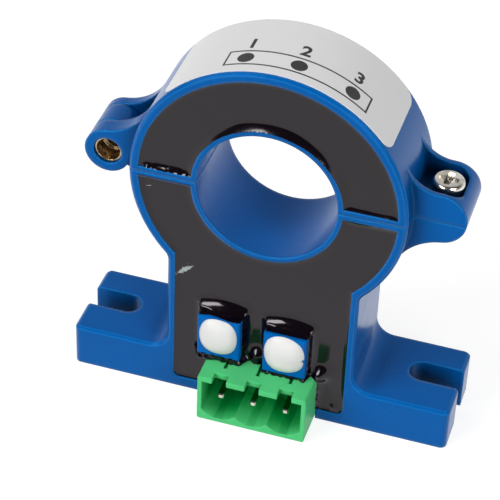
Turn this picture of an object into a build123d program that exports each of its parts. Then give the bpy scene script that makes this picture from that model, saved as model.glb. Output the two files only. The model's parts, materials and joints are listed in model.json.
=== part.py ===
from build123d import *
from math import atan2, cos, degrees, radians, sin, sqrt
import os

# Split-core current transducer. The front, with the potted side and the terminals, faces -Y.
# Z = 0 is the underside of the feet, and X runs from the hinge to the clamp screw.

# Base, neck and ring
base_length = 59.4
housing_depth = 15.0
foot_height = 7.1
foot_corner = 1.0
foot_blend = 3.0
neck_width = 29.2
neck_wall = 1.12
bottom_wall = 1.76
split_height = 39.6
split_gap = 0.1
ring_radius = 20.65
window_radius = 10.5
window_wall = 0.8
rim_wall = 1.4
split_wall = 0.8
back_wall = 1.6
waist_blend = 2.0
rim_chamfer = 0.4
cavity_corner = 1.0

# Mounting slots, open at the ends of the feet
slot_width = 4.2
slot_reach = 8.1
slot_setback = 0.5

# Hinge, with the front and back ears on the upper half and the knuckle between them on the base
ear_depth = 9.0
hinge_radius = 3.5
hinge_gap = 0.85
ear_blend = 8.0
front_ear_thickness = 2.9
back_ear_thickness = 1.7
ear_side_clearance = 0.1
pin_radius = 2.1
pin_wall = 0.3
pin_step_wall = 0.75
pin_step_depth = 3.2
pin_recess = 0.4
pin_running_clearance = 0.05

# Clamp screw and its lugs
screw_offset = 3.75
latch_radius = 4.0
latch_rise = 0.5
latch_top_blend = 5.5
pocket_width = 7.4
pocket_corner_radius = 2.0
pocket_end_wall = 1.4
lug_floor = 2.4
screw_head_radius = 2.4
screw_head_height = 2.1
screw_head_side = 1.5
screw_head_top_radius = 1.7
screw_radius = 1.5
screw_length = 5.0
screw_hole_clearance = 0.2
recess_length = 3.0
recess_width = 0.7
recess_depth = 1.1
insert_radius = 2.1
insert_length = 2.8
insert_running_clearance = 0.05

# Potting
potting_recess = 0.5

# Magnetic core and its sensor
core_inner_clearance = 1.0
core_outer_clearance = 0.95
core_depth = 9.0
sensor_gap = 1.7
sensor_thickness = 1.5
sensor_width = 4.0
sensor_height = 3.6
lead_size = 0.4
lead_pitch = 1.27
lead_drop = 2.4

# Circuit board and what it carries
board_thickness = 1.6
board_margin = 0.6
board_core_gap = 0.94
chip_size = (5.0, 4.0, 1.5)
chip_place = (-1.5, 10.5)
regulator_size = (4.5, 4.0, 1.5)
regulator_place = (6.0, 11.5)
capacitor_size = (7.3, 4.3, 2.8)
capacitor_place = (-8.2, 10.5)

# Trimmers, sealed with a dot of silicone
trimmer_width = 6.6
trimmer_height = 7.4
trimmer_depth = 4.9
trimmer_standout = 2.1
trimmer_places = {"left": (-5.8, 13.25), "right": (4.45, 12.7)}
trimmer_edge = 0.25
rotor_radius = 2.3
rotor_depth = 1.2
rotor_slot_width = 0.6
rotor_slot_depth = 0.5
seal_radius = 3.15
seal_rise = 0.42
seal_top_radius = 1.6
seal_height = 1.1

# Terminal header
pin_pitch = 5.08
pin_count = 3
header_x = 0.83
header_width = 16.9
header_bottom = 0.3
header_height = 8.4
header_standout = 6.1
header_side_wall = 0.7
header_top_wall = 1.0
header_floor_wall = 0.65
header_back_wall = 1.9
header_edge = 0.2
scallop_radius = 3.4
latch_notch_width = 2.2
latch_notch_depth = 1.5
groove_width = 0.45
groove_depth = 0.4
groove_setback = 3.0
terminal_height = 4.3
terminal_size = 0.9
terminal_recess = 1.1
terminal_tail = 1.2
header_seat_clearance = 0.05

# Label
label_thickness = 0.12
label_margin = 0.6
label_left_angle = 50.0
label_right_angle = 55.0

# Planes and heights worked out from the sizes above
front_y = -housing_depth / 2
back_y = housing_depth / 2
lower_top = split_height - split_gap / 2
upper_bottom = split_height + split_gap / 2
hinge_x = -(ring_radius + hinge_gap + hinge_radius)
screw_x = ring_radius + screw_offset
cavity_radius = ring_radius - rim_wall
cavity_half_neck = neck_width / 2 - neck_wall
potting_front_y = front_y + potting_recess
cavity_back_y = back_y - back_wall
core_inner_radius = window_radius + window_wall + core_inner_clearance
core_outer_radius = cavity_radius - core_outer_clearance
core_bottom = split_height - core_outer_radius
trimmer_front_y = front_y - trimmer_standout
board_front_y = trimmer_front_y + trimmer_depth
board_back_y = board_front_y + board_thickness
header_front_y = front_y - header_standout
header_length = board_front_y - header_front_y
ear_front_y = -ear_depth / 2
ear_back_y = ear_depth / 2
knuckle_front_y = ear_front_y + front_ear_thickness + ear_side_clearance
knuckle_back_y = ear_back_y - back_ear_thickness - ear_side_clearance
latch_z = split_height + latch_rise
pocket_floor = upper_bottom + lug_floor
everything = 4 * base_length

os.makedirs("parts", exist_ok=True)


def facing(y):
    """Plane at this y that looks to the front, with X to the right and Z up."""
    return Plane.XZ.offset(-y)


def finish(piece, label):
    """Names a finished piece and writes it."""
    piece.part.label = label
    export_step(piece.part, f"parts/{label}.step")


def from_crown(angle, radius):
    """Point at this radius from the ring's centre, turned from the crown toward +X."""
    return radius * sin(radians(angle)), split_height + radius * cos(radians(angle))


def end_edges(piece):
    """Outlines of a piece's front and back faces."""
    ends = piece.faces().sort_by(Axis.Y)
    return ends[0].outer_wire().edges() + ends[-1].outer_wire().edges()


def blend_arc(hub, hub_radius, blend_radius, side):
    """Start, middle and end of the hollow arc from an ear's round end to the ring, above (1) or below (-1)."""
    ring = Vector(0, split_height)
    to_hub = hub_radius + blend_radius
    to_ring = ring_radius + blend_radius
    span = (ring - hub).length
    along = (span**2 + to_hub**2 - to_ring**2) / (2 * span)
    inward = (ring - hub).normalized()
    across = Vector(-inward.Y, inward.X) * (side if inward.X > 0 else -side)
    centre = hub + inward * along + across * sqrt(to_hub**2 - along**2)
    start = hub + (centre - hub).normalized() * hub_radius
    end = ring + (centre - ring).normalized() * ring_radius
    middle = centre + (start + end - centre * 2).normalized() * blend_radius
    return start, middle, end


def ear_profile(hub, hub_radius, blend_radius, side, plane):
    """Outline of an ear: a round end that runs into the ring on one hollow arc."""
    start, middle, end = blend_arc(hub, hub_radius, blend_radius, side)
    hand = 1 if hub.X > 0 else -1
    root = Vector(hand * (ring_radius - rim_wall / 2), split_height + side * split_gap / 2)
    with BuildSketch(plane) as profile:
        with BuildLine():
            ThreePointArc(start, middle, end)
            Polyline(end, root, (hub.X, root.Y), start)
        make_face()
        with Locations(hub):
            Circle(hub_radius)
    return profile.sketch


def lower_cavity(plane):
    """Outline of the potted space in the base: the lower half of the ring and the neck."""
    top = lower_top - split_wall
    with BuildSketch(plane) as profile:
        with Locations((0, split_height)):
            Circle(cavity_radius)
        with Locations((0, bottom_wall)):
            Rectangle(2 * cavity_half_neck, split_height - bottom_wall, align=(Align.CENTER, Align.MIN))
        with Locations((0, top)):
            Rectangle(everything, everything, align=(Align.CENTER, Align.MIN), mode=Mode.SUBTRACT)
        fillet(profile.vertices().sort_by(Axis.Y)[:2], cavity_corner)
        with Locations((0, split_height)):
            Circle(window_radius + window_wall, mode=Mode.SUBTRACT)
    return profile.sketch


def upper_cavity(plane):
    """Outline of the potted space in the upper half of the ring."""
    with BuildSketch(plane) as profile:
        with Locations((0, split_height)):
            Circle(cavity_radius)
            Circle(window_radius + window_wall, mode=Mode.SUBTRACT)
        with Locations((0, upper_bottom + split_wall)):
            Rectangle(everything, everything, align=(Align.CENTER, Align.MAX), mode=Mode.SUBTRACT)
    return profile.sketch


def core_profile(plane, lower_limit, upper_limit):
    """Half of the toroidal core, between two heights."""
    with BuildSketch(plane) as profile:
        with Locations((0, split_height)):
            Circle(core_outer_radius)
            Circle(core_inner_radius, mode=Mode.SUBTRACT)
        with Locations((0, (lower_limit + upper_limit) / 2)):
            Rectangle(everything, upper_limit - lower_limit, mode=Mode.INTERSECT)
    return profile.sketch


hinge_hub = Vector(hinge_x, split_height)
latch_hub = Vector(screw_x, latch_z)
terminal_xs = [header_x + (i - (pin_count - 1) / 2) * pin_pitch for i in range(pin_count)]
terminal_z = header_bottom + terminal_height

# Base housing: feet, neck, lower half of the ring, hinge knuckle and the lug that the screw pulls on
with BuildPart() as base_housing:
    with BuildSketch(facing(back_y)) as outline:
        with Locations((0, split_height)):
            Circle(ring_radius)
        Rectangle(neck_width, split_height, align=(Align.CENTER, Align.MIN))
        Rectangle(base_length, foot_height, align=(Align.CENTER, Align.MIN))
        with Locations((0, lower_top)):
            Rectangle(everything, everything, align=(Align.CENTER, Align.MIN), mode=Mode.SUBTRACT)
        inner_corners = outline.vertices().filter_by(lambda v: abs(abs(v.X) - neck_width / 2) < 0.01)
        fillet(inner_corners.filter_by(lambda v: v.Y < foot_height + 0.01), foot_blend)
        inner_corners = outline.vertices().filter_by(lambda v: abs(abs(v.X) - neck_width / 2) < 0.01)
        fillet(inner_corners.sort_by(Axis.Y)[-2:], waist_blend)
    extrude(amount=housing_depth)
    foot_corners = base_housing.edges().filter_by(Axis.Z).filter_by(
        lambda e: abs(abs(e.center().X) - base_length / 2) < 0.01
    )
    fillet(foot_corners, foot_corner)
    side_edges = end_edges(base_housing).filter_by(lambda e: 0.01 < e.center().Z < lower_top - 0.01)
    chamfer(side_edges, rim_chamfer)
    # Potted space, cable window, foot slots and the gap that the header passes through
    extrude(lower_cavity(facing(front_y)), amount=-(housing_depth - back_wall), mode=Mode.SUBTRACT)
    with BuildSketch(facing(back_y)):
        with Locations((0, split_height)):
            Circle(window_radius)
    extrude(amount=housing_depth, mode=Mode.SUBTRACT)
    with BuildSketch(Plane.XY):
        with Locations((-base_length / 2, slot_setback), (base_length / 2, slot_setback)):
            SlotOverall(2 * slot_reach, slot_width)
    extrude(amount=foot_height, mode=Mode.SUBTRACT)
    with BuildSketch(Plane.XY):
        with Locations((header_x, front_y)):
            Rectangle(
                header_width + 2 * header_seat_clearance,
                2 * (board_front_y - front_y),
            )
    extrude(amount=bottom_wall + cavity_corner, mode=Mode.SUBTRACT)
    # Hinge knuckle, between the ears of the upper half
    knuckle = ear_profile(hinge_hub, hinge_radius, ear_blend, -1, facing(knuckle_back_y))
    extrude(knuckle, amount=knuckle_back_y - knuckle_front_y)
    with BuildSketch(facing(ear_back_y)):
        with Locations((hinge_x, split_height)):
            Circle(pin_radius)
    extrude(amount=ear_depth, mode=Mode.SUBTRACT)
    # Lower lug of the clamp screw
    with BuildSketch(facing(ear_back_y)) as lug:
        add(ear_profile(latch_hub, latch_radius, ear_blend, -1, Plane.XY))
        with Locations((0, lower_top)):
            Rectangle(everything, everything, align=(Align.CENTER, Align.MIN), mode=Mode.SUBTRACT)
    extrude(amount=ear_depth)
    with Locations(Plane((screw_x, 0, lower_top))):
        Hole(insert_radius, depth=2 * latch_radius)
finish(base_housing, "base_housing")

# Upper housing: the other half of the ring, two hinge ears and the lug with the pocket for the screw head
with BuildPart() as top_housing:
    extrude(ear_profile(hinge_hub, hinge_radius, ear_blend, 1, facing(ear_back_y)), amount=ear_depth)
    with BuildSketch(facing(ear_back_y - back_ear_thickness)):
        with Locations((hinge_x, split_height)):
            Rectangle(4 * hinge_radius, 6 * hinge_radius)
    extrude(amount=ear_depth - front_ear_thickness - back_ear_thickness, mode=Mode.SUBTRACT)
    with BuildSketch(facing(ear_back_y)) as lug:
        add(ear_profile(latch_hub, latch_radius, latch_top_blend, 1, Plane.XY))
        with Locations((0, upper_bottom)):
            Rectangle(everything, everything, align=(Align.CENTER, Align.MAX), mode=Mode.SUBTRACT)
    extrude(amount=ear_depth)
    pocket_end = screw_x + latch_radius - pocket_end_wall
    with BuildSketch(Plane.XY.offset(pocket_floor)) as pocket:
        with Locations((pocket_end, 0)):
            Rectangle(2 * latch_radius + ring_radius / 2, pocket_width, align=(Align.MAX, Align.CENTER))
        fillet(pocket.vertices().group_by(Axis.X)[-1], pocket_corner_radius)
    extrude(amount=ring_radius, mode=Mode.SUBTRACT)
    with BuildSketch(facing(back_y)):
        with Locations((0, split_height)):
            Circle(ring_radius)
        with Locations((0, upper_bottom)):
            Rectangle(everything, everything, align=(Align.CENTER, Align.MAX), mode=Mode.SUBTRACT)
    extrude(amount=housing_depth)
    chamfer(end_edges(top_housing).filter_by(GeomType.CIRCLE), rim_chamfer)
    extrude(upper_cavity(facing(front_y)), amount=-(housing_depth - back_wall), mode=Mode.SUBTRACT)
    with BuildSketch(facing(back_y)):
        with Locations((0, split_height)):
            Circle(window_radius)
    extrude(amount=housing_depth, mode=Mode.SUBTRACT)
    with BuildSketch(facing(ear_back_y)):
        with Locations((hinge_x, split_height)):
            Circle(pin_radius + pin_running_clearance)
    extrude(amount=ear_depth, mode=Mode.SUBTRACT)
    with BuildSketch(Plane.XY.offset(upper_bottom)):
        with Locations((screw_x, 0)):
            Circle(screw_radius + screw_hole_clearance)
    extrude(amount=lug_floor, mode=Mode.SUBTRACT)
finish(top_housing, "top_housing")

# Hinge pin: a brass tube held in the knuckle, with a step in its bore
with BuildPart() as hinge_pin:
    with BuildSketch(facing(ear_back_y - pin_recess)):
        with Locations((hinge_x, split_height)):
            Circle(pin_radius)
            Circle(pin_radius - pin_step_wall, mode=Mode.SUBTRACT)
    extrude(amount=ear_depth - 2 * pin_recess)
    with BuildSketch(facing(ear_front_y)):
        with Locations((hinge_x, split_height)):
            Circle(pin_radius - pin_wall)
    extrude(amount=-pin_step_depth, mode=Mode.SUBTRACT)
finish(hinge_pin, "hinge_pin")

# Brass insert in the lower lug
with BuildPart() as threaded_insert:
    with BuildSketch(Plane.XY.offset(lower_top - insert_length)):
        with Locations((screw_x, 0)):
            Circle(insert_radius)
            Circle(screw_radius + insert_running_clearance, mode=Mode.SUBTRACT)
    extrude(amount=insert_length)
finish(threaded_insert, "threaded_insert")

# Clamp screw: pan head with a cross recess
with BuildPart() as clamp_screw:
    with BuildSketch(Plane.XZ) as half:
        with BuildLine():
            tip_z = pocket_floor - screw_length
            head_top = pocket_floor + screw_head_height
            Polyline(
                (screw_x + screw_head_radius, pocket_floor + screw_head_side),
                (screw_x + screw_head_top_radius, head_top),
                (screw_x, head_top),
                (screw_x, tip_z),
                (screw_x + screw_radius, tip_z),
                (screw_x + screw_radius, pocket_floor),
                (screw_x + screw_head_radius, pocket_floor),
                (screw_x + screw_head_radius, pocket_floor + screw_head_side),
            )
        make_face()
    revolve(axis=Axis((screw_x, 0, 0), (0, 0, 1)))
    with BuildSketch(Plane.XY.offset(head_top)):
        with Locations((screw_x, 0)):
            Rectangle(recess_length, recess_width)
            Rectangle(recess_width, recess_length)
    extrude(amount=-recess_depth, mode=Mode.SUBTRACT)
finish(clamp_screw, "clamp_screw")

# Core: two quarters in the base with a gap for the sensor, and one half above
core_plane = facing(core_depth / 2)
lower_core = {}
for side, name in ((-1, "left"), (1, "right")):
    with BuildPart() as quarter:
        with BuildSketch(core_plane):
            add(core_profile(Plane.XY, split_height - 2 * ring_radius, lower_top - split_wall))
            with Locations((side * (sensor_gap / 2 + ring_radius), split_height)):
                Rectangle(2 * ring_radius, 4 * ring_radius, mode=Mode.INTERSECT)
        extrude(amount=core_depth)
    finish(quarter, f"lower_core_{name}")
    lower_core[name] = quarter.part

with BuildPart() as upper_core:
    extrude(
        core_profile(core_plane, upper_bottom + split_wall, split_height + 2 * ring_radius),
        amount=core_depth,
    )
finish(upper_core, "upper_core")

# Sensor in the gap of the core, on three bent leads that reach the back of the board
sensor_bottom = core_bottom + (core_outer_radius - core_inner_radius - sensor_height) / 2
with BuildPart() as hall_sensor:
    with BuildSketch(Plane.XY.offset(sensor_bottom)):
        Rectangle(sensor_thickness, sensor_width)
    extrude(amount=sensor_height)
    for i in (-1, 0, 1):
        lead_y = i * lead_pitch
        bend_z = core_bottom - lead_drop - i * lead_size * 2
        with BuildSketch(Plane.YZ.offset(-lead_size / 2)):
            with Locations((lead_y, bend_z)):
                Rectangle(lead_size, sensor_bottom - bend_z, align=(Align.CENTER, Align.MIN))
            with Locations((board_back_y, bend_z)):
                Rectangle(lead_y - board_back_y + lead_size / 2, lead_size, align=(Align.MIN, Align.MIN))
        extrude(amount=lead_size)
finish(hall_sensor, "hall_sensor")

# Terminals: square pins through the header and the board
terminals = []
for number, x in enumerate(terminal_xs, 1):
    with BuildPart() as terminal:
        with BuildSketch(facing(board_back_y + terminal_tail)):
            with Locations((x, terminal_z)):
                Rectangle(terminal_size, terminal_size)
        extrude(amount=board_back_y + terminal_tail - header_front_y - terminal_recess)
        chamfer(terminal.faces().sort_by(Axis.Y)[0].edges(), terminal_size / 5)
    finish(terminal, f"terminal_pin_{number}")
    terminals.append(terminal.part)

# Header: a shroud with scalloped floor, latch notches over the pins and grooves along its top
header_inner_top = header_bottom + header_height - header_top_wall
with BuildPart() as terminal_header:
    with BuildSketch(facing(board_front_y)):
        with Locations((header_x, header_bottom)):
            Rectangle(header_width, header_height, align=(Align.CENTER, Align.MIN))
    extrude(amount=header_length)
    chamfer(terminal_header.edges().filter_by(Axis.Y), header_edge)
    cavity_width = header_width - 2 * header_side_wall
    scallop_z = header_bottom + header_floor_wall + scallop_radius
    with BuildSketch(facing(header_front_y)):
        with Locations((header_x, scallop_z)):
            Rectangle(cavity_width, header_inner_top - scallop_z, align=(Align.CENTER, Align.MIN))
        with Locations(*[(x, scallop_z) for x in terminal_xs]):
            Circle(scallop_radius)
        with Locations((header_x, scallop_z)):
            Rectangle(cavity_width, 2 * (header_inner_top - scallop_z), mode=Mode.INTERSECT)
    extrude(amount=-(header_length - header_back_wall), mode=Mode.SUBTRACT)
    with BuildSketch(Plane.XY.offset(header_inner_top)):
        with Locations(*[(x, header_front_y) for x in terminal_xs]):
            Rectangle(latch_notch_width, 2 * latch_notch_depth)
    extrude(amount=header_top_wall, mode=Mode.SUBTRACT)
    with BuildSketch(Plane.XY.offset(header_bottom + header_height)):
        with Locations(*[(x, header_front_y + groove_setback) for x in terminal_xs]):
            Rectangle(groove_width, header_length, align=(Align.CENTER, Align.MIN))
    extrude(amount=-groove_depth, mode=Mode.SUBTRACT)
    for pin in terminals:
        add(pin, mode=Mode.SUBTRACT)
finish(terminal_header, "terminal_header")

# Board behind the trimmers and the header
with BuildPart() as circuit_board:
    with BuildSketch(facing(board_back_y)):
        board_bottom = bottom_wall + board_margin
        board_top = core_bottom - board_core_gap
        with Locations((0, board_bottom)):
            Rectangle(
                2 * (cavity_half_neck - board_margin),
                board_top - board_bottom,
                align=(Align.CENTER, Align.MIN),
            )
    extrude(amount=board_thickness)
    for pin in terminals:
        add(pin, mode=Mode.SUBTRACT)
finish(circuit_board, "circuit_board")


def board_component(size, place):
    """A flat package on the back of the board."""
    width, height, thickness = size
    with BuildPart() as component:
        with BuildSketch(facing(board_back_y + thickness)):
            with Locations(place):
                Rectangle(width, height)
        extrude(amount=thickness)
    return component


amplifier_chip = board_component(chip_size, chip_place)
finish(amplifier_chip, "amplifier_chip")
voltage_regulator = board_component(regulator_size, regulator_place)
finish(voltage_regulator, "voltage_regulator")
supply_capacitor = board_component(capacitor_size, capacitor_place)
finish(supply_capacitor, "supply_capacitor")

# Trimmers: body, slotted rotor and the dot that seals it
trimmer_bodies = []
for name, (x, z) in trimmer_places.items():
    with BuildPart() as trimmer:
        with BuildSketch(facing(board_front_y)):
            with Locations((x, z)):
                Rectangle(trimmer_width, trimmer_height)
        extrude(amount=trimmer_depth)
        chamfer(trimmer.faces().sort_by(Axis.Y)[0].edges(), trimmer_edge)
        with BuildSketch(facing(trimmer_front_y)):
            with Locations((x, z)):
                Circle(rotor_radius)
        extrude(amount=-rotor_depth, mode=Mode.SUBTRACT)
    finish(trimmer, f"{name}_trimmer_body")
    trimmer_bodies.append(trimmer.part)
    with BuildPart() as rotor:
        with BuildSketch(facing(trimmer_front_y)):
            with Locations((x, z)):
                Circle(rotor_radius)
        extrude(amount=-rotor_depth)
        with BuildSketch(facing(trimmer_front_y)):
            with Locations((x, z)):
                Rectangle(2 * rotor_radius, rotor_slot_width)
        extrude(amount=-rotor_slot_depth, mode=Mode.SUBTRACT)
    finish(rotor, f"{name}_trimmer_rotor")
    with BuildPart() as seal:
        with BuildSketch(facing(trimmer_front_y)):
            with Locations((x, z + seal_rise)):
                Circle(seal_radius)
        extrude(amount=seal_height, taper=degrees(atan2(seal_radius - seal_top_radius, seal_height)))
    finish(seal, f"{name}_trimmer_seal")

# Potting: fills the open front of each half round everything in it
with BuildPart() as lower_potting:
    extrude(lower_cavity(facing(cavity_back_y)), amount=cavity_back_y - potting_front_y)
    inner_pieces = [
        *lower_core.values(),
        *terminals,
        *trimmer_bodies,
        hall_sensor.part,
        circuit_board.part,
        amplifier_chip.part,
        voltage_regulator.part,
        supply_capacitor.part,
    ]
    with Locations((header_x, board_front_y, header_bottom)):
        Box(
            header_width,
            header_length,
            header_height,
            align=(Align.CENTER, Align.MAX, Align.MIN),
            mode=Mode.SUBTRACT,
        )
    for piece in inner_pieces:
        add(piece, mode=Mode.SUBTRACT)
finish(lower_potting, "lower_potting")

with BuildPart() as upper_potting:
    extrude(upper_cavity(facing(cavity_back_y)), amount=cavity_back_y - potting_front_y)
    add(upper_core.part, mode=Mode.SUBTRACT)
finish(upper_potting, "upper_potting")

# Label: a thin film on the crown of the ring
with BuildPart() as label:
    outer = ring_radius + label_thickness
    with BuildSketch(facing(back_y - label_margin)):
        with Locations((0, split_height)):
            Circle(outer)
            Circle(ring_radius, mode=Mode.SUBTRACT)
        with BuildLine():
            centre = (0, split_height)
            left = from_crown(-label_left_angle, 2 * ring_radius)
            right = from_crown(label_right_angle, 2 * ring_radius)
            above = from_crown(0, 4 * ring_radius)
            Polyline(centre, right, above, left, centre)
        make_face(mode=Mode.INTERSECT)
    extrude(amount=housing_depth - 2 * label_margin)
finish(label, "label")
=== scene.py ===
import json
import math
from functools import partial

import bmesh
import bpy
from mathutils import Matrix, Vector, noise
from mathutils.geometry import delaunay_2d_cdt


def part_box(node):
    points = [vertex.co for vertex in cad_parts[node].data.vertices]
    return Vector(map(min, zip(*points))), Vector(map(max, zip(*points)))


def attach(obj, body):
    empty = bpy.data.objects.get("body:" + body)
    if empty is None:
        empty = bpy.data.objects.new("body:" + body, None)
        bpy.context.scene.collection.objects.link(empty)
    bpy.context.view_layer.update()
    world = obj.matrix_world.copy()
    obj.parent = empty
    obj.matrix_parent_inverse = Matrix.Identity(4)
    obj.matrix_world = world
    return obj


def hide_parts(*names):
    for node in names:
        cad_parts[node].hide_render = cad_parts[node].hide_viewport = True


bl_info = {
    "name": "Split-Core Current Transducer",
    "version": (1, 0, 0),
    "blender": (4, 5, 0),
    "location": "3D View > Sidebar > Transducer",
    "description": "Dresses a split-core current transducer: moulded housing, potting, header, trimmers, label",
    "category": "Object",
}

MM = 0.001
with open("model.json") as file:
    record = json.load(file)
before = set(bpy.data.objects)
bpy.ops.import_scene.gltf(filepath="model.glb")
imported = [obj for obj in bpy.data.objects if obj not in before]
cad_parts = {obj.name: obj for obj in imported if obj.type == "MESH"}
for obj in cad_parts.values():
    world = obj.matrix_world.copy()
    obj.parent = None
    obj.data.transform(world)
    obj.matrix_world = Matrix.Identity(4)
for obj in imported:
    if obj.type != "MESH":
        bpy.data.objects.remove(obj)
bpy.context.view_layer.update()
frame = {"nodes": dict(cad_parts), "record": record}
nodes = frame["nodes"]
window = next(m for m in frame["record"]["mounts"] if m["name"] == "window")
WINDOW_RADIUS = window["dims"]["r_mm"]
RING_Z = window["pos_m"][2] / MM


def node_box(name):
    """Lowest and highest corner of a node of the frame, in millimetres."""
    low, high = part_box(name)
    return low / MM, high / MM


def linear(hex_colour):
    """Linear colour of an sRGB hex value."""
    values = [int(hex_colour[i : i + 2], 16) / 255 for i in (1, 3, 5)]
    return tuple(v / 12.92 if v <= 0.04045 else ((v + 0.055) / 1.055) ** 2.4 for v in values) + (1.0,)


def colour_property(name, description, hex_colour):
    """A colour that a user may change, with its default given as sRGB hex."""
    return bpy.props.FloatVectorProperty(
        name=name, description=description, subtype="COLOR", size=4, min=0, max=1, default=linear(hex_colour)
    )


def length_property(name, description, millimetres):
    """A length that a user may change. It is kept in metres and its default is given in millimetres."""
    return bpy.props.FloatProperty(
        name=name,
        description=description,
        unit="LENGTH",
        subtype="DISTANCE",
        min=0,
        default=millimetres * MM,
        precision=5,
    )


def number_property(name, description, value, unit="NONE"):
    """A level or a power that a user may change."""
    return bpy.props.FloatProperty(name=name, description=description, unit=unit, min=0, default=value)


class HousingSettings(bpy.types.PropertyGroup):
    """Looks of the two moulded halves."""

    plastic: colour_property("Plastic", "Colour of the moulded halves", "#0058a3")
    ripple: length_property("Ripple", "Size of the slow ripple that moulding leaves on the walls", 7.0)


class PottingSettings(bpy.types.PropertyGroup):
    """Sizes and colour of the resin."""

    resin: colour_property("Resin", "Colour of the potting resin", "#0b050c")
    grid: length_property("Grid", "Distance between the points of the resin's surface", 0.22)
    creep: length_property("Creep", "How far the resin climbs its walls", 0.42)
    reach: length_property("Reach", "How far from a wall the resin starts to climb", 1.5)
    collar: length_property("Collar", "How far the resin climbs the top side of a trimmer", 2.45)
    collar_reach: length_property("Collar reach", "How far above a trimmer its collar starts", 2.0)


class TrimmerSettings(bpy.types.PropertyGroup):
    """Looks of the trimmers and their seals."""

    body: colour_property("Body", "Colour of the trimmer bodies", "#0062b2")
    seal: colour_property("Seal", "Colour of the silicone dots", "#e8e8e6")
    seal_height: length_property("Seal height", "How far a silicone dot stands out", 1.2)


class HeaderSettings(bpy.types.PropertyGroup):
    """Looks of the terminal header."""

    plastic: colour_property("Plastic", "Colour of the header", "#54cd7f")
    pin: colour_property("Pin", "Colour of the tinned pins", "#d9d6ca")


class ScrewSettings(bpy.types.PropertyGroup):
    """Sizes and colour of the clamp screw."""

    metal: colour_property("Metal", "Colour of the nickel plating", "#e8e3da")
    pitch: length_property("Pitch", "Pitch of the thread", 0.5)
    thread_depth: length_property("Thread depth", "Depth of the thread", 0.27)
    recess: length_property("Recess", "Width over the cross recess", 2.95)
    recess_slot: length_property("Recess slot", "Width of each slot of the cross recess", 0.8)
    recess_depth: length_property("Recess depth", "Depth of the cross recess", 1.2)


class LabelSettings(bpy.types.PropertyGroup):
    """Sizes and colours of the label."""

    film: colour_property("Film", "Colour of the label's film", "#ececed")
    ink: colour_property("Ink", "Colour of the print", "#2c2a2b")
    corner: length_property("Corner", "Radius of the label's corners", 2.0)
    line: length_property("Line", "Width of the printed lines", 0.28)
    dot: length_property("Dot", "Radius of the printed dots", 1.2)
    figure: length_property("Figure", "Height of the printed figures", 2.4)


class StageSettings(bpy.types.PropertyGroup):
    """The floor and the light."""

    floor: colour_property("Floor", "Colour of the floor", "#a4a4a4")
    key: number_property("Key", "Power of the main lamp in watts", 9.6, "POWER")
    fill: number_property("Fill", "Power of the fill lamp in watts", 1.5, "POWER")
    top: number_property("Top", "Power of the high lamp in watts", 2.4, "POWER")
    ambient: number_property("Ambient", "Level of the light from all round", 0.5)
    lift: number_property("Lift", "How far the seen floor is lifted to white", 0.8)


BEVEL_SAMPLES = 6
# samples of the ambient occlusion that paints shade into the plastics' recesses
COVER_SAMPLES = 8
WHITE = (1, 1, 1, 1)
# the colour that the blue plastics give to what they reflect
BLUE_GLOSS = "#3f9cf0"
# weave of the board's glass cloth, in millimetres
WEAVE = 0.5
# dried smears on the resin, beside the neck's left wall and, faint, below the split: place across and up, turn in
# degrees, half length and half width
SMEARS = ((-12.0, 23.0, 42, 1.9, 0.55), (-17.8, 37.0, 12, 0.6, 0.07))


def add_node(tree, kind, *values, out=None, **named):
    """Adds a shader node with its settings and links, and gives back its first output or the one that out names.

    An input gets a value or the output that drives it. Values without a name go to the inputs in their order. A name
    with a capital is an input too, and any other name is a setting.
    """
    made = tree.nodes.new("ShaderNode" + kind)
    for name, value in named.items():
        if name.islower():
            setattr(made, name, value)
    given = list(zip((s for s in made.inputs if s.enabled), values))
    given += [(made.inputs[n.replace("_", " ")], v) for n, v in named.items() if not n.islower()]
    for socket, value in given:
        if isinstance(value, bpy.types.NodeSocket):
            tree.links.new(value, socket)
        else:
            socket.default_value = value
    return made.outputs[out] if out else next((s for s in made.outputs if s.enabled), None)


def node_adder(owner):
    """Empties the nodes of a material or a world, and gives back what adds a node to them."""
    owner.use_nodes = True
    owner.node_tree.nodes.clear()
    return partial(add_node, owner.node_tree)


def new_material(name):
    """A material with no shader yet, what adds a node to it, and the coordinates of the piece that wears it."""
    made = bpy.data.materials.new(name)
    add = node_adder(made)
    return made, add, add("TexCoord", out="Object")


def give_surface(add, relief, depth, edge=0.0, **shader):
    """Ends a material in its shader. How deep its relief is and how far its edges look rounded are in millimetres."""
    rounded = {"Normal": add("Bevel", edge * MM, samples=BEVEL_SAMPLES)} if edge else {}
    bump = add("Bump", Height=relief, Distance=depth * MM, **rounded)
    add("OutputMaterial", add("BsdfPrincipled", Normal=bump, **shader))


def per(millimetres):
    """Texture scale at which one cell is this large."""
    return 1 / (millimetres * MM)


def shade(colour, factor):
    """The same colour, lighter or darker."""
    return tuple(min(1.0, c * factor) for c in colour[:3]) + (1.0,)


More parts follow.
